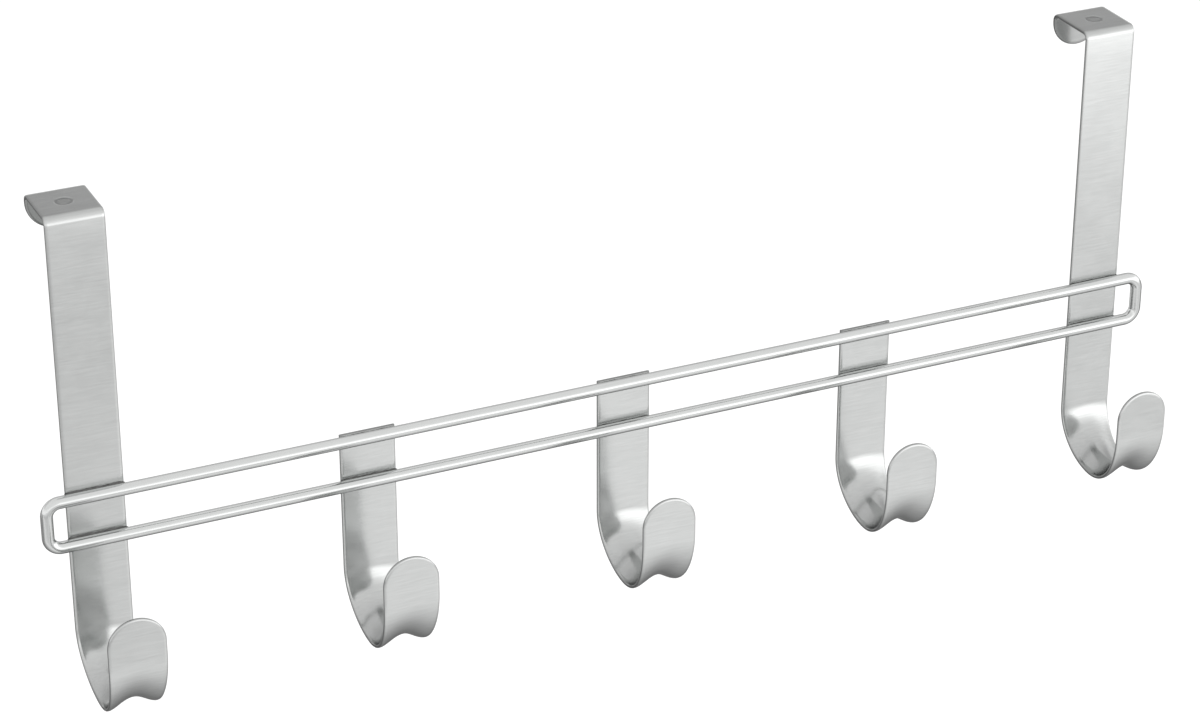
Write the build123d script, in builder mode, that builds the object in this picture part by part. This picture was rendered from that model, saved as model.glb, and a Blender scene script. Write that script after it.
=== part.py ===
from build123d import *
from math import cos, pi, sin
import os

os.makedirs("parts", exist_ok=True)

# Frame: X runs along the rack, Y points into the door and Z is up.
# The origin is midway between the two door clips, on the edge where the face of
# the door meets its top: the straps lie on y = 0 and the clip tabs on z = 0.

# Layout along the rack
hook_pitch = 105.0
short_hook_count = 3

# Flat strip that every hook is bent from, with eased edges all round
strip_width = 22.0
strip_thickness = 1.5
edge_bevel = 0.25

# Clip over the top of the door
door_gap = 22.4
clip_bend_radius = 1.5
lip_straight_height = 0.7
press_mark_diameter = 7.0
press_mark_depth = 0.3
press_mark_wall = 0.03
radius_match = 0.01

# Closed wire loop, welded across the front of the strips
wire_diameter = 4.6
wire_corner_radius = 5.0
wire_spacing = 18.4
wire_drop = 108.0
loop_overhang = 19.1

# The short hooks are cut square, just above the middle of the upper wire
short_hook_rise = 1.8

# Bend of the hook: wider on the strap side, steeper on the tip side
bend_start_drop = 162.2
strap_side_reach = 21.7
strap_side_fall = 20.4
tip_side_reach = 19.8
tip_side_rise = 26.4
tip_plate_height = 17.3

# The bend is a saddle: the strip arches across its width and narrows there
saddle_rise = 4.0
saddle_edge_share = 0.21
saddle_waist = 1.2
saddle_onset = 1.8
saddle_section_count = 17

# Weld beads in the corner above each wire, running a little past the edges of each strip
weld_height = 2.4
weld_top_clearance = 0.2
weld_overrun = 0.6

# Places that follow from the sizes above
half_width = strip_width / 2
half_flat = half_width - edge_bevel
half_thickness = strip_thickness / 2
half_rim = half_thickness - edge_bevel
strip_mid_y = -half_thickness
bend_start_z = -bend_start_drop
bend_bottom_z = bend_start_z - strap_side_fall
bend_middle_y = strip_mid_y - strap_side_reach
plate_mid_y = bend_middle_y - tip_side_reach
plate_start_z = bend_bottom_z + tip_side_rise
tip_center_z = plate_start_z + tip_plate_height - half_width
lip_mid_y = door_gap + half_thickness
lip_center_z = -clip_bend_radius - lip_straight_height
wire_y = -strip_thickness - wire_diameter / 2
upper_wire_z = -wire_drop
lower_wire_z = upper_wire_z - wire_spacing
short_hook_top_z = upper_wire_z + short_hook_rise
outer_hook_x = hook_pitch * (short_hook_count + 1) / 2
short_hook_xs = [hook_pitch * (i - (short_hook_count - 1) / 2) for i in range(short_hook_count)]


def flat_section(x, y, z):
    """Cross-section of a strip that runs straight up or down."""
    with BuildSketch(Plane((x, y, z))) as section:
        Rectangle(strip_width, strip_thickness)
        chamfer(section.vertices(), edge_bevel)
    return section.sketch


def saddle_section(x, turn):
    """Cross-section of the bend, turn 0 at the strap and pi at the tip plate."""
    on_strap_side = turn <= pi / 2
    reach = strap_side_reach if on_strap_side else tip_side_reach
    rise = strap_side_fall if on_strap_side else tip_side_rise
    y = bend_middle_y + reach * cos(turn)
    z = bend_bottom_z + rise * (1 - sin(turn))
    plane = Plane((x, y, z), x_dir=(1, 0, 0), z_dir=(0, -reach * sin(turn), -rise * cos(turn)))

    # The arch is a bell, high in the middle and level again at the edges
    swell = sin(turn) ** saddle_onset
    half_chord = half_flat - saddle_waist * swell
    height = saddle_rise * swell
    shares = [i / 3 for i in range(-3, 4)]
    heights = [height * ((1 - s**2) ** 2 - saddle_edge_share) for s in shares]
    slopes = [-4 * height * s * (1 - s**2) / half_chord for s in shares]
    normals = [Vector(-slope, 1).normalized() for slope in slopes]
    middle = [Vector(half_chord * s, h) for s, h in zip(shares, heights)]
    inner = [m + n * half_thickness for m, n in zip(middle, normals)]
    outer = [m - n * half_thickness for m, n in zip(middle, normals)]

    # Each long edge is a narrow rim between two bevels
    left_rim = middle[0] - Vector(normals[0].Y, -normals[0].X) * edge_bevel
    right_rim = middle[-1] + Vector(normals[-1].Y, -normals[-1].X) * edge_bevel
    left_step = normals[0] * half_rim
    right_step = normals[-1] * half_rim
    with BuildSketch(plane) as section:
        with BuildLine():
            Spline(*inner)
            Polyline(inner[-1], right_rim + right_step, right_rim - right_step, outer[-1])
            Spline(*reversed(outer))
            Polyline(outer[0], left_rim - left_step, left_rim + left_step, inner[0])
        make_face()
    return section.sketch


def round_end(x, y, z, angle):
    """Half disc with a bevelled rim, revolved about Y, that ends a strip."""
    with BuildSketch(Plane((x, y, z))) as profile:
        Polygon(
            (0, -half_thickness),
            (half_flat, -half_thickness),
            (half_width, -half_rim),
            (half_width, half_rim),
            (half_flat, half_thickness),
            (0, half_thickness),
            align=None,
        )
    revolve(profile.sketch, axis=Axis((x, y, z), (0, 1, 0)), revolution_arc=angle)


def hook_end(x):
    """Saddle bend, flat tip plate and rounded tip below a strip at x."""
    turns = [pi * i / (saddle_section_count - 1) for i in range(saddle_section_count)]
    loft(sections=[saddle_section(x, turn) for turn in turns])
    extrude(flat_section(x, plate_mid_y, plate_start_z), amount=tip_center_z - plate_start_z)
    round_end(x, plate_mid_y, tip_center_z, -180)


def door_hook(label, x):
    """Long strap with a clip over the door at its top and a hook at its foot."""
    with BuildPart() as hook:
        with BuildLine() as route:
            FilletPolyline(
                (x, lip_mid_y, lip_center_z),
                (x, lip_mid_y, half_thickness),
                (x, strip_mid_y, half_thickness),
                (x, strip_mid_y, bend_start_z),
                radius=clip_bend_radius + half_thickness,
            )
        sweep(flat_section(x, lip_mid_y, lip_center_z), path=route.wire())
        round_end(x, lip_mid_y, lip_center_z, 180)
        hook_end(x)

        # Plain round mark pressed into the top of the clip
        with BuildSketch(Plane((x, door_gap / 2, strip_thickness))) as mark:
            Circle(press_mark_diameter / 2)
        extrude(mark.sketch, amount=-press_mark_depth, mode=Mode.SUBTRACT)
        dish_edge = hook.edges().filter_by(GeomType.CIRCLE).filter_by(
            lambda edge: abs(edge.radius - press_mark_diameter / 2) < radius_match
        )
        fillet(dish_edge.sort_by(Axis.Z)[0], press_mark_depth - press_mark_wall)
    hook.part.label = label
    export_step(hook.part, f"parts/{label}.step")


def short_hook(label, x):
    """Short strip, square at the top, with a hook at its foot."""
    with BuildPart() as hook:
        extrude(flat_section(x, strip_mid_y, bend_start_z), amount=short_hook_top_z - bend_start_z)
        hook_end(x)
    hook.part.label = label
    export_step(hook.part, f"parts/{label}.step")


door_hook("left_door_hook", -outer_hook_x)
door_hook("right_door_hook", outer_hook_x)
for label, x in zip(("left_short_hook", "middle_short_hook", "right_short_hook"), short_hook_xs):
    short_hook(label, x)

# Wire loop: a long rounded rectangle bent from one wire
with BuildPart() as wire_loop:
    loop_width = 2 * (outer_hook_x + loop_overhang)
    loop_plane = Plane((0, wire_y, (upper_wire_z + lower_wire_z) / 2), x_dir=(1, 0, 0), z_dir=(0, -1, 0))
    with BuildSketch(loop_plane, mode=Mode.PRIVATE) as loop_outline:
        RectangleRounded(loop_width, wire_spacing, wire_corner_radius)
    with BuildSketch(Plane((0, wire_y, upper_wire_z), x_dir=(0, 1, 0), z_dir=(1, 0, 0))):
        Circle(wire_diameter / 2)
    sweep(path=loop_outline.sketch.face().outer_wire())
wire_loop.part.label = "wire_loop"
export_step(wire_loop.part, "parts/wire_loop.step")

# Weld beads: each fills the corner between a wire and the strip behind it
def weld_row(label, wire_z):
    """Row of beads along the top of one wire, kept below the tops of the strips."""
    wire_radius = wire_diameter / 2
    with BuildPart() as welds:
        for x in (-outer_hook_x, *short_hook_xs, outer_hook_x):
            room = short_hook_top_z - wire_z - weld_top_clearance
            height = weld_height if abs(x) == outer_hook_x else min(weld_height, room)
            crown = Vector(1, height / wire_radius).normalized() * wire_radius
            with BuildSketch(Plane((x, wire_y, wire_z), x_dir=(0, 1, 0), z_dir=(1, 0, 0))) as bead:
                Polygon((0, 0), (wire_radius, 0), (wire_radius, height), (crown.X, crown.Y), align=None)
                Circle(wire_radius, mode=Mode.SUBTRACT)
            extrude(bead.sketch, amount=half_width + weld_overrun, both=True)
    welds.part.label = label
    export_step(welds.part, f"parts/{label}.step")


weld_row("upper_wire_welds", upper_wire_z)
weld_row("lower_wire_welds", lower_wire_z)
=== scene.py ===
import math
import bmesh
import bpy
import numpy as np
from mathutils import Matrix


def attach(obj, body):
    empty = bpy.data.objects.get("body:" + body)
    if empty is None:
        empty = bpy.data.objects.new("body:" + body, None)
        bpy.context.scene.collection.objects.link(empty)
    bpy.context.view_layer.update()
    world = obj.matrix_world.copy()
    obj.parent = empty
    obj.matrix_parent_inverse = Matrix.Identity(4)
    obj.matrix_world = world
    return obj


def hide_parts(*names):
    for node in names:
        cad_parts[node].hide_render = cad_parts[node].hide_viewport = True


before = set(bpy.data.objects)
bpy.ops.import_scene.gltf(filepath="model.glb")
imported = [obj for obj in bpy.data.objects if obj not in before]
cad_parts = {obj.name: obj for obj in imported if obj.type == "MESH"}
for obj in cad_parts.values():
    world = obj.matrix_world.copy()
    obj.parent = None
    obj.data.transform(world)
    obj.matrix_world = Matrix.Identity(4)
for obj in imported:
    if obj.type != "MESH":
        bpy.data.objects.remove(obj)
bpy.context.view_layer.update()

mm = 0.001  # every size below is in millimetres, every mesh in metres
perMeter = 1000.0  # pitches of patterns are in millimetres, Object coordinates in metres
noiseRange = (0.3, 0.7)  # nearly all values of a noise lie in here
print("frame loaded:", sorted(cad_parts))


def addNode(tree, kind, **settings):
    # a node with its plain settings; sockets are set by name with setIn
    node = tree.nodes.new(kind)
    for key, value in settings.items():
        setattr(node, key, value)
    return node


def setIn(node, **values):
    # fixed values of sockets, by name, with underscores for spaces
    for key, value in values.items():
        node.inputs[key.replace("_", " ")].default_value = value


def feed(tree, node, index, value):
    # a number is set on the socket, another node's output is linked to it
    if isinstance(value, (int, float)):
        node.inputs[index].default_value = value
    else:
        tree.links.new(value, node.inputs[index])


def mathNode(tree, operation, a, b):
    # one Math node; a and b are sockets or numbers
    node = addNode(tree, "ShaderNodeMath", operation=operation)
    feed(tree, node, 0, a)
    feed(tree, node, 1, b)
    return node.outputs[0]


def spread(tree, value, low, high, outLow, outHigh):
    # straight line from low..high to outLow..outHigh, held at its ends
    node = addNode(tree, "ShaderNodeMapRange", clamp=True)
    setIn(node, From_Min=low, From_Max=high, To_Min=outLow, To_Max=outHigh)
    tree.links.new(value, node.inputs["Value"])
    return node.outputs["Result"]


def smooth(tree, value, low, high):
    # 0 below low, 1 above high, eased between them
    node = addNode(tree, "ShaderNodeMapRange", interpolation_type="SMOOTHSTEP")
    setIn(node, From_Min=low, From_Max=high)
    tree.links.new(value, node.inputs["Value"])
    return node.outputs["Result"]


def blend(tree, share, a, b):
    # a where share is 0, b where it is 1; a and b are sockets or numbers
    node = addNode(tree, "ShaderNodeMix", data_type="FLOAT")
    tree.links.new(share, node.inputs["Factor"])
    feed(tree, node, "A", a)
    feed(tree, node, "B", b)
    return node.outputs["Result"]


def maskFrom(tree, name):
    # a mask that ringMesh stored on the mesh, 0 on a piece without it
    return addNode(tree, "ShaderNodeAttribute", attribute_name=name).outputs["Fac"]


def newGroup(name, inputs, outputs):
    # empty node group with named sockets; inputs hold (name, type, default)
    group = bpy.data.node_groups.new(name, "ShaderNodeTree")
    for label, kind, value in inputs:
        socket = group.interface.new_socket(name=label, in_out="INPUT", socket_type=kind)
        if value is not None:
            socket.default_value = value
    for label, kind in outputs:
        group.interface.new_socket(name=label, in_out="OUTPUT", socket_type=kind)
    return group, addNode(group, "NodeGroupInput"), addNode(group, "NodeGroupOutput")


def placeGroup(tree, group, **values):
    # one use of a group, with its own values
    node = addNode(tree, "ShaderNodeGroup")
    node.node_tree = group
    setIn(node, **values)
    return node


def buildGrain():
    # brushed lines: two noises drawn out along X, one fine and one broad
    group, entry, leave = newGroup(
        "brushedGrain",
        [("Vector", "NodeSocketVector", None), ("Fine Pitch", "NodeSocketFloat", 0.2),
         ("Broad Pitch", "NodeSocketFloat", 1.4), ("Draw", "NodeSocketFloat", 0.05)],
        [("Fine", "NodeSocketFloat"), ("Broad", "NodeSocketFloat")])
    for label, detail in (("Fine", 2.0), ("Broad", 3.0)):
        across = mathNode(group, "DIVIDE", perMeter, entry.outputs[label + " Pitch"])
        along = mathNode(group, "MULTIPLY", across, entry.outputs["Draw"])
        scale = addNode(group, "ShaderNodeCombineXYZ")
        for index, socket in enumerate((along, across, across)):
            group.links.new(socket, scale.inputs[index])
        stretch = addNode(group, "ShaderNodeVectorMath", operation="MULTIPLY")
        group.links.new(entry.outputs["Vector"], stretch.inputs[0])
        group.links.new(scale.outputs[0], stretch.inputs[1])
        noise = addNode(group, "ShaderNodeTexNoise")
        setIn(noise, Scale=1.0, Detail=detail, Roughness=0.6)
        group.links.new(stretch.outputs[0], noise.inputs["Vector"])
        group.links.new(noise.outputs["Fac"], leave.inputs[label])
    return group


def buildPatches():
    # soft uneven patches from handling and polishing, the same in every direction
    group, entry, leave = newGroup(
        "handlingPatches",
        [("Vector", "NodeSocketVector", None), ("Size", "NodeSocketFloat", 12.0)],
        [("Mask", "NodeSocketFloat")])
    noise = addNode(group, "ShaderNodeTexNoise")
    setIn(noise, Detail=3.0, Roughness=0.55)
    group.links.new(entry.outputs["Vector"], noise.inputs["Vector"])
    group.links.new(mathNode(group, "DIVIDE", perMeter, entry.outputs["Size"]), noise.inputs["Scale"])
    group.links.new(smooth(group, noise.outputs["Fac"], *noiseRange), leave.inputs["Mask"])
    return group


brushedGrain = buildGrain()
handlingPatches = buildPatches()


def buildSteel(name, look):
    # Brushed steel: the colour is scaled by a tone of broad grain and patches, less the mask "dark",
    # which holds painted shade and the darker pressed mark.
    # The roughness follows fine grain, patches and the mask "rim", and both grains drive the bump.
    material = bpy.data.materials.new(name)
    material.use_nodes = True
    tree = material.node_tree
    tree.nodes.clear()
    finish = addNode(tree, "ShaderNodeOutputMaterial")
    shader = addNode(tree, "ShaderNodeBsdfPrincipled")
    setIn(shader, Metallic=1.0, IOR=1.5)
    setIn(shader, Specular_Tint=(*[look["grazing"]] * 3, 1))  # dims the thin line at an outline
    if "anisotropic" in look:
        # the grain runs along X, so reflections are drawn out across it
        setIn(shader, Anisotropic=look["anisotropic"])
        tangent = addNode(tree, "ShaderNodeTangent", direction_type="RADIAL", axis="X")
        tree.links.new(tangent.outputs[0], shader.inputs["Tangent"])
    place = addNode(tree, "ShaderNodeTexCoord").outputs["Object"]
    grain = placeGroup(tree, brushedGrain, Fine_Pitch=look["finePitch"],
                       Broad_Pitch=look["broadPitch"], Draw=look["draw"])
    patch = placeGroup(tree, handlingPatches, Size=look["patchSize"])
    tree.links.new(place, grain.inputs["Vector"])
    tree.links.new(place, patch.inputs["Vector"])

    grainTone = spread(tree, grain.outputs["Broad"], *noiseRange, 1 - look["toneSwing"], 1.0)
    patchTone = spread(tree, patch.outputs["Mask"], 0.0, 1.0, -look["patchTone"], 0.0)
    tone = mathNode(tree, "ADD", grainTone, patchTone)
    # painted shade: the mask "dark" takes colour off the outline, the bend, the clip, the cut top and the
    # pressed mark
    tone = mathNode(tree, "SUBTRACT", tone, maskFrom(tree, "dark"))
    color = addNode(tree, "ShaderNodeVectorMath", operation="SCALE")
    color.inputs[0].default_value = look["color"]
    tree.links.new(tone, color.inputs["Scale"])
    tree.links.new(color.outputs[0], shader.inputs["Base Color"])

    rough, swing = look["roughness"], look["roughSwing"]
    grainRough = spread(tree, grain.outputs["Fine"], *noiseRange, rough - swing, rough + swing)
    patchRough = mathNode(tree, "MULTIPLY", patch.outputs["Mask"], swing)
    rimRough = mathNode(tree, "MULTIPLY", maskFrom(tree, "rim"), look["rimRoughness"])
    rough = mathNode(tree, "ADD", mathNode(tree, "ADD", grainRough, patchRough), rimRough)
    tree.links.new(rough, shader.inputs["Roughness"])

    bump = addNode(tree, "ShaderNodeBump")
    setIn(bump, Strength=look["bumpStrength"], Distance=look["bumpHeight"] * mm)
    broadHeight = mathNode(tree, "MULTIPLY", grain.outputs["Broad"], look["broadBump"])
    height = mathNode(tree, "ADD", grain.outputs["Fine"], broadHeight)
    tree.links.new(height, bump.inputs["Height"])
    tree.links.new(bump.outputs["Normal"], shader.inputs["Normal"])
    tree.links.new(shader.outputs[0], finish.inputs["Surface"])
    return material


stripSteel = buildSteel("stripSteel", {
    "color": (0.70, 0.71, 0.704), "toneSwing": 0.07, "patchTone": 0.03, "patchSize": 14.0,
    "finePitch": 0.16, "broadPitch": 0.6, "draw": 0.06,
    "roughness": 0.17, "roughSwing": 0.03, "rimRoughness": -0.05, "anisotropic": 0.6,
    "bumpStrength": 0.3, "bumpHeight": 0.010, "broadBump": 0.3, "grazing": 0.72})
wireSteel = buildSteel("wireSteel", {
    "color": (0.72, 0.73, 0.724), "toneSwing": 0.03, "patchTone": 0.02, "patchSize": 9.0,
    "finePitch": 0.12, "broadPitch": 0.8, "draw": 0.03,
    "roughness": 0.16, "roughSwing": 0.03, "rimRoughness": 0.0,
    "bumpStrength": 0.2, "bumpHeight": 0.006, "broadBump": 0.3, "grazing": 0.3})
# the beads' dark colour is partly the welds' own tint and partly painted shade of the contact gap above
# the wire
weldSteel = buildSteel("weldSteel", {
    "color": (0.21, 0.21, 0.207), "toneSwing": 0.25, "patchTone": 0.2, "patchSize": 2.0,
    "finePitch": 0.35, "broadPitch": 1.2, "draw": 0.5,
    "roughness": 0.42, "roughSwing": 0.08, "rimRoughness": 0.0,
    "bumpStrength": 0.6, "bumpHeight": 0.05, "broadBump": 0.3, "grazing": 1.0})
print("materials built")

mergeGap = 0.0004 * mm  # points closer than this are one
sliverSize = 0.0002 * mm


def ringMesh(name, rings, material, sharpAngle, closed=False, flatTop=False, masks=None):
    # Quads between neighbouring rows of rings (rows x around x 3), where every row is a closed ring.
    # A closed mesh joins its last row to its first, and a flat top joins the two faces of a strip
    # straight across. A row that is drawn in to a line closes when its doubled points merge.
    rows, around = rings.shape[:2]
    index = np.arange(rows * around).reshape(rows, around)
    upper, lower = index[:-1], index[1:]
    if closed:
        upper, lower = index, np.roll(index, -1, axis=0)
    corners = [upper, np.roll(upper, -1, axis=1), np.roll(lower, -1, axis=1), lower]
    faces = np.stack(corners, axis=-1).reshape(-1, 4)
    if flatTop:
        top = index[0]
        j = np.arange(around // 2 - 1)
        corners = [top[around - 1 - j], top[around - 2 - j], top[j + 1], top[j]]
        faces = np.concatenate([faces, np.stack(corners, axis=-1)])
    mesh = bpy.data.meshes.new(name)
    mesh.from_pydata(rings.reshape(-1, 3).tolist(), [], faces.tolist())
    for label, values in (masks or {}).items():
        layer = mesh.attributes.new(label, "FLOAT", "POINT")
        layer.data.foreach_set("value", np.ascontiguousarray(values, dtype=np.float32).ravel())
    piece = bpy.data.objects.new(name, mesh)
    bpy.context.scene.collection.objects.link(piece)
    tidyMesh(mesh, sharpAngle)
    mesh.materials.append(material)
    return piece


def tidyMesh(mesh, sharpAngle):
    # merges doubled points, turns every face outwards, and smooths all but sharp edges
    work = bmesh.new()
    work.from_mesh(mesh)
    bmesh.ops.remove_doubles(work, verts=work.verts, dist=mergeGap)
    bmesh.ops.dissolve_degenerate(work, dist=sliverSize, edges=work.edges)
    bmesh.ops.recalc_face_normals(work, faces=work.faces)
    work.to_mesh(mesh)
    work.free()
    mesh.shade_smooth()
    mesh.set_sharp_from_angle(angle=math.radians(sharpAngle))


def closeEnds(mesh):
    # one face over each open end
    work = bmesh.new()
    work.from_mesh(mesh)
    bmesh.ops.holes_fill(work, edges=[edge for edge in work.edges if edge.is_boundary])
    bmesh.ops.recalc_face_normals(work, faces=work.faces)
    work.to_mesh(mesh)
    work.free()


strip = {
    "width": 22.0, "thickness": 1.5, "hookPitch": 105.0, "shortTop": -106.2, "cutEase": 0.18,
    "edgeBevel": 0.25, "edgeRadius": 0.38, "rollWidth": 1.3, "rollDepth": 0.24,
    "doorGap": 22.4, "clipRadius": 1.5, "lipStraight": 0.7,
    "markDiameter": 7.0, "markDepth": 0.3, "markEase": 0.36, "markButton": 4.6, "markButtonShare": 0.4,
    "bendStart": -162.2, "strapReach": 21.7, "strapFall": 20.4, "tipReach": 19.8, "tipRise": 26.4,
    "plateHeight": 17.3, "saddleRise": 4.0, "saddleEdge": 0.21, "saddleWaist": 1.2, "swellPower": 1.8,
    # painted shade along the outline, over the bend, inside the clip and at the cut top, and the darker
    # pressed mark
    "rimFade": 1.6, "paintedEdgeShade": 0.42, "edgePower": 5, "clipShadeTurn": math.pi / 3,
    "paintedBendShade": 0.30, "paintedClipShade": 0.32, "darkMark": 0.20, "paintedCutShade": 0.45,
    "columns": 105, "bendRows": 101, "plateRows": 6, "tipRows": 41, "lipRows": 33, "clipRows": 17,
    "tabRows": 101, "strapRows": 22, "shortRows": 16, "cutRows": 6, "sharpAngle": 40.0,
}
uncut = 99.0  # farther from a cut top than its easing reaches
levelFacing = 0.999  # a face that looks up this far is level


def run(y, z, ny, nz, swell=0.0, beyond=0.0, cut=uncut, clipShadeShare=0.0):
    # One run of stations along a strip: its middle line y, z; the direction ny, nz that it faces; its
    # share of the saddle; how far it lies past an end's centre and below a cut top; its share of the
    # clip's painted shade.
    values = {"y": y, "z": z, "ny": ny, "nz": nz,
              "swell": swell, "beyond": beyond, "cut": cut, "clipShadeShare": clipShadeShare}
    size = max(np.size(value) for value in values.values())
    return {key: np.broadcast_to(value, (size,)) for key, value in values.items()}


def joinRuns(*runs):
    # the runs of one strip, end to end
    return {key: np.concatenate([part[key] for part in runs]) for key in runs[0]}


def hookRuns(s):
    # Saddle bend, plate and round tip, the same on every hook. The bend is two quarter ellipses, one
    # on the strap's side and one on the tip's, and its saddle swells as a power of sin(turn).
    half, radius = s["thickness"] / 2, s["width"] / 2
    turn = np.linspace(0, math.pi, s["bendRows"])[1:]
    onStrap = turn <= math.pi / 2
    reach = np.where(onStrap, s["strapReach"], s["tipReach"])
    rise = np.where(onStrap, s["strapFall"], s["tipRise"])
    middleY = -half - s["strapReach"]
    bottom = s["bendStart"] - s["strapFall"]
    norm = np.hypot(rise * np.cos(turn), reach * np.sin(turn))
    bend = run(middleY + reach * np.cos(turn), bottom + rise * (1 - np.sin(turn)),
               -rise * np.cos(turn) / norm, reach * np.sin(turn) / norm, np.sin(turn) ** s["swellPower"])
    plateY = middleY - s["tipReach"]
    plateStart = bottom + s["tipRise"]
    tipCenter = plateStart + s["plateHeight"] - radius
    plate = run(plateY, np.linspace(plateStart, tipCenter, s["plateRows"])[1:], 1.0, 0.0)
    past = radius * np.sin(np.linspace(0, math.pi / 2, s["tipRows"])[1:])
    tip = run(plateY, tipCenter + past, 1.0, 0.0, beyond=past)
    return bend, plate, tip


def doorRuns(s):
    # Round lip end, two quarter bends with the tab between them, and the long strap. The share of painted
    # shade in the clip is whole as far as the tab and fades out round the near bend.
    half, radius = s["thickness"] / 2, s["width"] / 2
    bendRadius = s["clipRadius"] + half
    lipY = s["doorGap"] + half
    lipCenter = -s["clipRadius"] - s["lipStraight"]
    past = radius * np.sin(np.linspace(math.pi / 2, 0, s["lipRows"]))
    lipEnd = run(lipY, lipCenter - past, 1.0, 0.0, beyond=past, clipShadeShare=1.0)
    turn = np.linspace(0, math.pi / 2, s["clipRows"])
    farBend = run(lipY - bendRadius + bendRadius * np.cos(turn),
                  -s["clipRadius"] + bendRadius * np.sin(turn), np.cos(turn), np.sin(turn), clipShadeShare=1.0)
    tabY = np.linspace(lipY - bendRadius, -half + bendRadius, s["tabRows"])[1:-1]
    tab = run(tabY, half, 0.0, 1.0, clipShadeShare=1.0)
    # the clip's painted shade fades out round the near bend
    fade = np.clip(1 - turn / s["clipShadeTurn"], 0, 1)
    nearBend = run(-half + bendRadius - bendRadius * np.sin(turn),
                   -s["clipRadius"] + bendRadius * np.cos(turn), -np.sin(turn), np.cos(turn), clipShadeShare=fade)
    strap = run(-half, np.linspace(-s["clipRadius"], s["bendStart"], s["strapRows"])[1:], -1.0, 0.0)
    return lipEnd, farBend, tab, nearBend, strap


def shortRuns(s):
    # square cut top, whose edge is eased by a quarter circle, then the strap
    half = s["thickness"] / 2
    depth = s["cutEase"] * (1 - np.cos(np.linspace(0, math.pi / 2, s["cutRows"])))
    top = run(-half, s["shortTop"] - depth, -1.0, 0.0, cut=depth)
    strap = run(-half, np.linspace(s["shortTop"], s["bendStart"], s["shortRows"])[1:], -1.0, 0.0)
    return top, strap


def eased(distance, width):
    # k^2 (3 - 2k), where k runs from 0 to 1 over the width
    k = np.clip(distance / width, 0, 1)
    return k * k * (3 - 2 * k)


def stripRings(s, path, x0, markY=None):
    # A strip is a middle surface with half its thickness laid on each side. Across, x is half the width
    # times sin(column), which shrinks to a half disc past an end's centre, and the arch is a bell of x,
    # (1 - x^2)^2. Near the outline the thickness follows a quarter circle down to a flat rim, and both
    # faces roll down a little on the way there.
    half, radius = s["thickness"] / 2, s["width"] / 2
    y, z, ny, nz, swell, beyond, cut, clipShadeShare = (
        path[key][:, None] for key in ("y", "z", "ny", "nz", "swell", "beyond", "cut", "clipShadeShare"))
    column = np.linspace(-math.pi / 2, math.pi / 2, s["columns"])[None, :]
    waist = s["saddleWaist"] * swell
    endReach = np.sqrt(np.clip(radius**2 - beyond**2, 0, None))
    reach = np.where(beyond > 0, endReach, radius - waist)
    x = reach * np.sin(column)

    flat = radius - s["edgeBevel"] - waist
    share = np.clip(x / flat, -1, 1)
    height = s["saddleRise"] * swell
    arch = height * ((1 - share**2) ** 2 - s["saddleEdge"])
    slope = -4 * height * share * (1 - share**2) / flat
    lean = np.sqrt(1 + slope**2)
    middle = np.stack([x0 + x, y + arch * ny, z + arch * nz], axis=-1)
    normal = np.stack([-slope / lean, ny / lean, nz / lean], axis=-1)

    # edge is the distance to the outline, thick the half thickness that is left there
    edge = np.where(beyond > 0, radius - np.sqrt(beyond**2 + x**2), (reach - np.abs(x)) * lean)
    near = np.clip(edge / s["edgeRadius"], 0, 1)
    thick = half - s["edgeRadius"] * (1 - np.sqrt(np.clip(1 - (1 - near) ** 2, 0, None)))
    thick = thick - s["rollDepth"] * (1 - np.clip(edge / s["rollWidth"], 0, 1)) ** 2
    fall = np.clip(1 - cut / s["cutEase"], 0, 1)
    thick = np.minimum(thick, half - s["cutEase"] * (1 - np.sqrt(1 - fall**2)))
    front = middle + normal * thick[..., None]
    back = middle - normal * thick[..., None]
    pressed = 0 * x
    if markY is not None:
        # a shallow round dish pressed into the top of the tab, with a low button in it
        away = np.hypot(x, front[..., 1] - markY)
        dish = s["markDepth"] * eased(s["markDiameter"] / 2 - away, s["markEase"])
        dish -= s["markDepth"] * s["markButtonShare"] * eased(s["markButton"] / 2 - away, s["markEase"])
        dish = np.where(nz > levelFacing, dish, 0)
        front[..., 2] -= dish
        pressed = dish / s["markDepth"]
    rings = np.concatenate([front, back[:, ::-1]], axis=1)

    # painted shade along the outline, over the saddle bend, inside the clip and at the cut top; the
    # pressed mark is darker too
    rim = np.clip(1 - edge / s["rimFade"], 0, 1)
    dark = s["paintedEdgeShade"] * rim ** s["edgePower"] + s["paintedBendShade"] * swell + s["paintedClipShade"] * clipShadeShare
    dark = np.maximum(dark, s["paintedCutShade"] * fall)
    masks = {"rim": np.concatenate([rim, rim[:, ::-1]], axis=1),
             "dark": np.concatenate([dark + s["darkMark"] * pressed, dark[:, ::-1]], axis=1)}
    return rings * mm, masks


def buildHook(name, x0, isDoor):
    # a hook is its upper runs and the common lower ones, as one skin
    head = doorRuns(strip) if isDoor else shortRuns(strip)
    path = joinRuns(*head, *hookRuns(strip))
    rings, masks = stripRings(strip, path, x0, strip["doorGap"] / 2 if isDoor else None)
    piece = ringMesh(name + "_steel", rings, stripSteel, strip["sharpAngle"],
                     flatTop=not isDoor, masks=masks)
    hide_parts(name)
    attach(piece, "root")


pitch = strip["hookPitch"]
buildHook("left_door_hook", -2 * pitch, True)
buildHook("left_short_hook", -pitch, False)
buildHook("middle_short_hook", 0.0, False)
buildHook("right_short_hook", pitch, False)
buildHook("right_door_hook", 2 * pitch, True)
print("hooks built")


wire = {"diameter": 4.6, "cornerRadius": 5.0, "spacing": 18.4, "drop": 108.0, "overhang": 19.1,
        "around": 48, "cornerSteps": 24, "longSteps": 40, "shortSteps": 4, "sharpAngle": 60.0}


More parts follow.
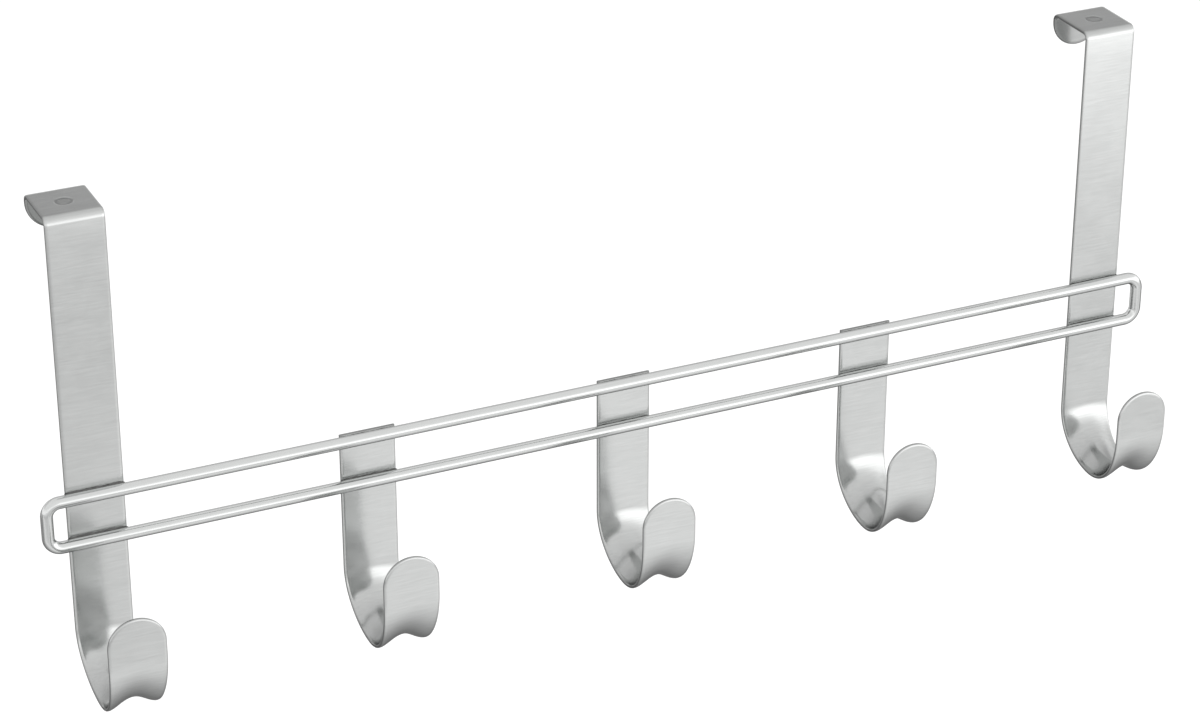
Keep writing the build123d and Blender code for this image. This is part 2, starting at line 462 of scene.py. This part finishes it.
def loopRings(w, s):
    # A circle carried round a rounded rectangle: each station has a centre and an outward direction in
    # the XZ plane, and the circle lies across that direction and Y.
    halfLong = 2 * s["hookPitch"] + w["overhang"]
    halfHigh, r = w["spacing"] / 2, w["cornerRadius"]
    centers, outs = [], []
    for quarter, (signX, signZ) in enumerate(((1, 1), (-1, 1), (-1, -1), (1, -1))):
        a = np.linspace(0, math.pi / 2, w["cornerSteps"]) + quarter * math.pi / 2
        out = np.stack([np.cos(a), np.sin(a)], axis=1)
        hub = np.array([signX * (halfLong - r), signZ * (halfHigh - r)])
        centers.append(hub + r * out)
        outs.append(out)
    mids, midOuts = [], []
    for i in range(4):
        start, finish = centers[i][-1], centers[(i + 1) % 4][0]
        t = np.linspace(0, 1, w["longSteps"] if i % 2 == 0 else w["shortSteps"])[1:-1, None]
        mids.append(start + (finish - start) * t)
        midOuts.append(np.repeat(outs[i][-1:], len(t), axis=0))
    center = np.concatenate([part for pair in zip(centers, mids) for part in pair])
    out = np.concatenate([part for pair in zip(outs, midOuts) for part in pair])
    turn = np.linspace(0, 2 * math.pi, w["around"], endpoint=False)[None, :]
    radius = w["diameter"] / 2
    x = center[:, 0:1] + radius * np.cos(turn) * out[:, 0:1]
    z = center[:, 1:2] + radius * np.cos(turn) * out[:, 1:2] - w["drop"] - halfHigh
    y = -s["thickness"] - radius + radius * np.sin(turn) + 0 * x
    return np.stack([x, y, z], axis=-1) * mm


loop = ringMesh("wire_loop_steel", loopRings(wire, strip), wireSteel, wire["sharpAngle"], closed=True)
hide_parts("wire_loop")
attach(loop, "root")
print("wire loop built")


weld = {
    "height": 2.4, "heightShares": (1.0, 0.92, 0.72, 0.72, 0.78), "topClearance": 0.2, "overrun": 0.6,
    "endRun": 0.12, "endShare": 0.5, "hollow": 0.16, "hollowLean": 0.6,
    "crest": 0.92, "crestWave": 0.08, "toe": 0.88, "toeWave": 0.06, "toeShift": 7,
    "waves": ((0.5, 5.1, 1.0), (0.3, 11.7, 2.3), (0.2, 23.0, 1.1)),  # size, half turns, seed share
    "upperSeed": 0.4, "lowerSeed": 2.9, "seedStep": 1.7, "steps": 97, "profile": 15, "sharpAngle": 50.0,
}


def beadRings(w, x0, wireZ, height, seed):
    # Each bead fills the corner above the wire. Its open face runs from a line on the strip down to a
    # line on the wire, slightly hollow as a half sine. Sums of sines make its crest and its toes uneven
    # along X, and a quarter circle thins it out at both ends.
    radius = wire["diameter"] / 2
    centerY = -strip["thickness"] - radius
    halfLong = strip["width"] / 2 + w["overrun"]
    t = np.linspace(0, 1, w["steps"])
    x = -halfLong + 2 * halfLong * t
    wave = sum(size * np.sin(turns * t * math.pi + share * seed) for size, turns, share in w["waves"])
    ends = np.clip(np.minimum(t, 1 - t) / w["endRun"], 0, 1)
    swell = w["endShare"] + (1 - w["endShare"]) * np.sqrt(1 - (1 - ends) ** 2)
    top = height * (w["crest"] + w["crestWave"] * wave) * swell
    toeWave = np.roll(wave, w["toeShift"])
    crownAngle = np.arctan2(height, radius) * (w["toe"] + w["toeWave"] * toeWave) * swell
    s = np.linspace(0, 1, w["profile"])[None, :]
    crownY, crownZ = radius * np.cos(crownAngle), radius * np.sin(crownAngle)
    hollow = w["hollow"] * np.sin(math.pi * s) * (top[:, None] / height)
    faceY = radius + (crownY - radius)[:, None] * s + hollow * w["hollowLean"]
    faceZ = top[:, None] + (crownZ - top)[:, None] * s - hollow
    arcAngle = crownAngle[:, None] * np.linspace(1, 0, w["profile"])[None, 1:]
    arcY, arcZ = radius * np.cos(arcAngle), radius * np.sin(arcAngle)
    y = centerY + np.concatenate([faceY, arcY], axis=1)
    z = wireZ + np.concatenate([faceZ, arcZ], axis=1)
    xs = np.repeat((x0 + x)[:, None], y.shape[1], axis=1)
    return np.stack([xs, y, z], axis=-1) * mm


def buildWelds(name, wireZ, seed):
    # five beads as one piece; those on short hooks stay below the hooks' cut tops
    headroom = strip["shortTop"] - wireZ - weld["topClearance"]
    pieces = []
    for i, share in enumerate(weld["heightShares"]):
        step = i - 2
        height = weld["height"] * share
        if abs(step) < 2:
            height = min(height, headroom)
        rings = beadRings(weld, step * pitch, wireZ, height, seed + weld["seedStep"] * i)
        piece = ringMesh(f"{name}_{i + 1}", rings, weldSteel, weld["sharpAngle"])
        closeEnds(piece.data)
        pieces.append(piece)
    bpy.ops.object.select_all(action="DESELECT")
    for piece in pieces:
        piece.select_set(True)
    joined = pieces[0]
    bpy.context.view_layer.objects.active = joined
    bpy.ops.object.join()
    joined.name = name + "_beads"
    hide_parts(name)
    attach(joined, "root")


buildWelds("upper_wire_welds", -wire["drop"], weld["upperSeed"])
buildWelds("lower_wire_welds", -wire["drop"] - wire["spacing"], weld["lowerSeed"])
print("weld beads built")


# Metal sees these levels in the floor and the room, and everything else sees plain white. A stop is
# (place, level): places on the floor are in metres, those in the room are the sine of the height.
studio = {
    "floorZ": -0.42, "floorSize": 12.0, "floorColor": (0.995, 0.995, 0.995), "gain": 1.15,
    "depthSpan": (1.0, -3.0),
    "depthLevels": ((1.0, 0.46), (0.4, 0.46), (0.25, 0.28), (0.1, 0.27), (-0.05, 0.44), (-0.17, 0.70),
                    (-0.3, 0.86), (-0.5, 0.94), (-0.8, 0.97), (-0.96, 1.32), (-2.0, 1.45), (-3.0, 1.50)),
    "acrossSpan": (-1.0, 1.0), "nearFade": (0.25, 0.5), "farFade": (0.56, 0.74),
    "nearSide": ((-0.3, 0.69), (-0.09, 0.77), (0.057, 0.90), (0.205, 0.95), (0.35, 0.90), (0.5, 0.79),
                 (0.56, 0.72), (1.0, 0.74)),
    "farSide": ((-0.2, 0.52), (0.0, 0.585), (0.76, 0.92), (1.0, 1.0)),
    "cornerX": (-0.15, -0.10), "cornerY": (0.26, 0.38), "cornerLevel": 0.80,
    "spotX": (0.55, 0.72), "spotY": (1.1, 1.4), "spotLevel": 0.50,
}
room = {
    "frontLevels": ((0.0, 1.50), (0.1, 1.48), (0.31, 1.27), (0.40, 1.02), (0.485, 0.92), (0.62, 0.84),
                    (1.0, 0.80)),
    "backLevels": ((0.0, 1.0), (0.22, 1.0), (0.31, 0.66), (0.44, 0.58), (0.60, 0.64), (0.707, 0.75),
                   (0.85, 0.80), (1.0, 0.80)),
    "backFade": (0.1, 0.6), "leftReach": 0.42, "leftHeights": (0.3, 0.6), "leftShare": 0.7,
}


def levelRamp(tree, value, stops, low=0.0, high=1.0):
    # grey levels along a value, straight between the stops; low is where the ramp starts, high its end
    node = addNode(tree, "ShaderNodeValToRGB")
    ramp = node.color_ramp
    ramp.elements.remove(ramp.elements[-1])
    for i, (place, level) in enumerate(stops):
        position = (place - low) / (high - low)
        element = ramp.elements[0] if i == 0 else ramp.elements.new(position)
        element.position = position
        element.color = (level, level, level, 1)
    along = value if (low, high) == (0.0, 1.0) else spread(tree, value, low, high, 0.0, 1.0)
    tree.links.new(along, node.inputs[0])
    return node.outputs[0]


def floorLevel(tree, s, x, y):
    # the levels by depth times those across, which change with depth; a corner behind has its own
    depth = levelRamp(tree, y, s["depthLevels"], *s["depthSpan"])
    near = levelRamp(tree, x, s["nearSide"], *s["acrossSpan"])
    far = levelRamp(tree, x, s["farSide"], *s["acrossSpan"])
    toFront = mathNode(tree, "MULTIPLY", y, -1.0)
    side = blend(tree, smooth(tree, toFront, *s["farFade"]), near, far)
    side = blend(tree, smooth(tree, toFront, *s["nearFade"]), 1.0, side)
    # behind the rack and to its right the floor is lighter again
    corner = mathNode(tree, "MULTIPLY", smooth(tree, y, *s["cornerY"]), smooth(tree, x, *s["cornerX"]))
    # a darker spot there is what the inside of the right clip shows
    spotFade = spread(tree, y, *s["spotY"], 1.0, 0.0)
    spot = mathNode(tree, "MULTIPLY", smooth(tree, x, *s["spotX"]), spotFade)
    cornerLevel = blend(tree, spot, s["cornerLevel"], s["spotLevel"])
    level = blend(tree, corner, mathNode(tree, "MULTIPLY", depth, side), cornerLevel)
    return mathNode(tree, "MULTIPLY", level, s["gain"])


def buildPaper(s):
    # matt near-white paper, which reflections see as the floor's levels
    material = bpy.data.materials.new("palePaper")
    material.use_nodes = True
    tree = material.node_tree
    tree.nodes.clear()
    finish = addNode(tree, "ShaderNodeOutputMaterial")
    paper = addNode(tree, "ShaderNodeBsdfDiffuse")
    setIn(paper, Color=(*s["floorColor"], 1))
    axes = addNode(tree, "ShaderNodeSeparateXYZ")
    tree.links.new(addNode(tree, "ShaderNodeTexCoord").outputs["Object"], axes.inputs[0])
    x, y = axes.outputs[:2]
    glow = addNode(tree, "ShaderNodeEmission")
    tree.links.new(floorLevel(tree, s, x, y), glow.inputs["Strength"])
    path = addNode(tree, "ShaderNodeLightPath")
    mix = addNode(tree, "ShaderNodeMixShader")
    tree.links.new(path.outputs["Is Glossy Ray"], mix.inputs[0])
    tree.links.new(paper.outputs[0], mix.inputs[1])
    tree.links.new(glow.outputs[0], mix.inputs[2])
    tree.links.new(mix.outputs[0], finish.inputs["Surface"])
    return material


def buildFloor(s):
    # one level square below the rack
    half, z = s["floorSize"] / 2, s["floorZ"]
    corners = [(-half, -half, z), (half, -half, z), (half, half, z), (-half, half, z)]
    mesh = bpy.data.meshes.new("studio_floor")
    mesh.from_pydata(corners, [], [(0, 1, 2, 3)])
    mesh.materials.append(buildPaper(s))
    floor = bpy.data.objects.new("studio_floor", mesh)
    bpy.context.scene.collection.objects.link(floor)


def buildWorld(s, gain):
    # Levels by height in front of the rack and behind it, blended from front to back. The left of the
    # front is dimmer, less so with height. Only reflections see them, the rest is white.
    world = bpy.data.worlds.new("softRoom")
    bpy.context.scene.world = world
    world.use_nodes = True
    tree = world.node_tree
    tree.nodes.clear()
    finish = addNode(tree, "ShaderNodeOutputWorld")
    axes = addNode(tree, "ShaderNodeSeparateXYZ")
    tree.links.new(addNode(tree, "ShaderNodeTexCoord").outputs["Generated"], axes.inputs[0])
    x, y, z = axes.outputs
    front = levelRamp(tree, z, s["frontLevels"])
    behind = levelRamp(tree, z, s["backLevels"])
    left = mathNode(tree, "MULTIPLY", spread(tree, x, 0.0, s["leftReach"], 1.0, 0.0),
                    spread(tree, z, *s["leftHeights"], 1.0, 0.0))
    front = mathNode(tree, "MULTIPLY", front, blend(tree, left, 1.0, s["leftShare"]))
    level = blend(tree, smooth(tree, y, *s["backFade"]), front, behind)
    path = addNode(tree, "ShaderNodeLightPath")
    level = blend(tree, path.outputs["Is Glossy Ray"], 1.0, mathNode(tree, "MULTIPLY", level, gain))
    back = addNode(tree, "ShaderNodeBackground")
    setIn(back, Color=(1, 1, 1, 1))
    tree.links.new(level, back.inputs["Strength"])
    tree.links.new(back.outputs[0], finish.inputs["Surface"])


lamp = {"place": (0.9, -1.2, 1.9), "aim": (0, 0, -0.1), "size": 1.6, "watts": 14.0}


def buildLamp(s):
    # a round area lamp, turned from straight down by tilt and yaw towards its aim
    data = bpy.data.lights.new("softKey", "AREA")
    data.shape = "DISK"
    data.size = s["size"]
    data.energy = s["watts"]
    key = bpy.data.objects.new("softKey", data)
    bpy.context.scene.collection.objects.link(key)
    key.location = s["place"]
    offset = np.array(s["aim"]) - np.array(s["place"])
    yaw = math.atan2(offset[0], -offset[1])
    tilt = math.acos(-offset[2] / np.linalg.norm(offset))
    key.rotation_euler = (tilt, 0, yaw + math.pi)
    key.visible_glossy = False  # metal is lit by the room, so the lamp leaves no round spot on it


buildFloor(studio)
buildWorld(room, studio["gain"])
buildLamp(lamp)

view = {"place": (-0.503, -1.0735, 0.4965), "yaw": 24.697, "pitch": -26.64,
        "lens": 104.3, "sensor": 36.0, "clipStart": 0.01}
scene = bpy.context.scene
scene.view_settings.view_transform = "Standard"
cameraData = bpy.data.cameras.new("viewCamera")
cameraData.lens = view["lens"]
cameraData.sensor_width = view["sensor"]
cameraData.clip_start = view["clipStart"]
camera = bpy.data.objects.new("viewCamera", cameraData)
camera.location = view["place"]
camera.rotation_euler = (math.radians(90 + view["pitch"]), 0, math.radians(-view["yaw"]))
scene.collection.objects.link(camera)
scene.camera = camera
print("stage, lamp and camera set")
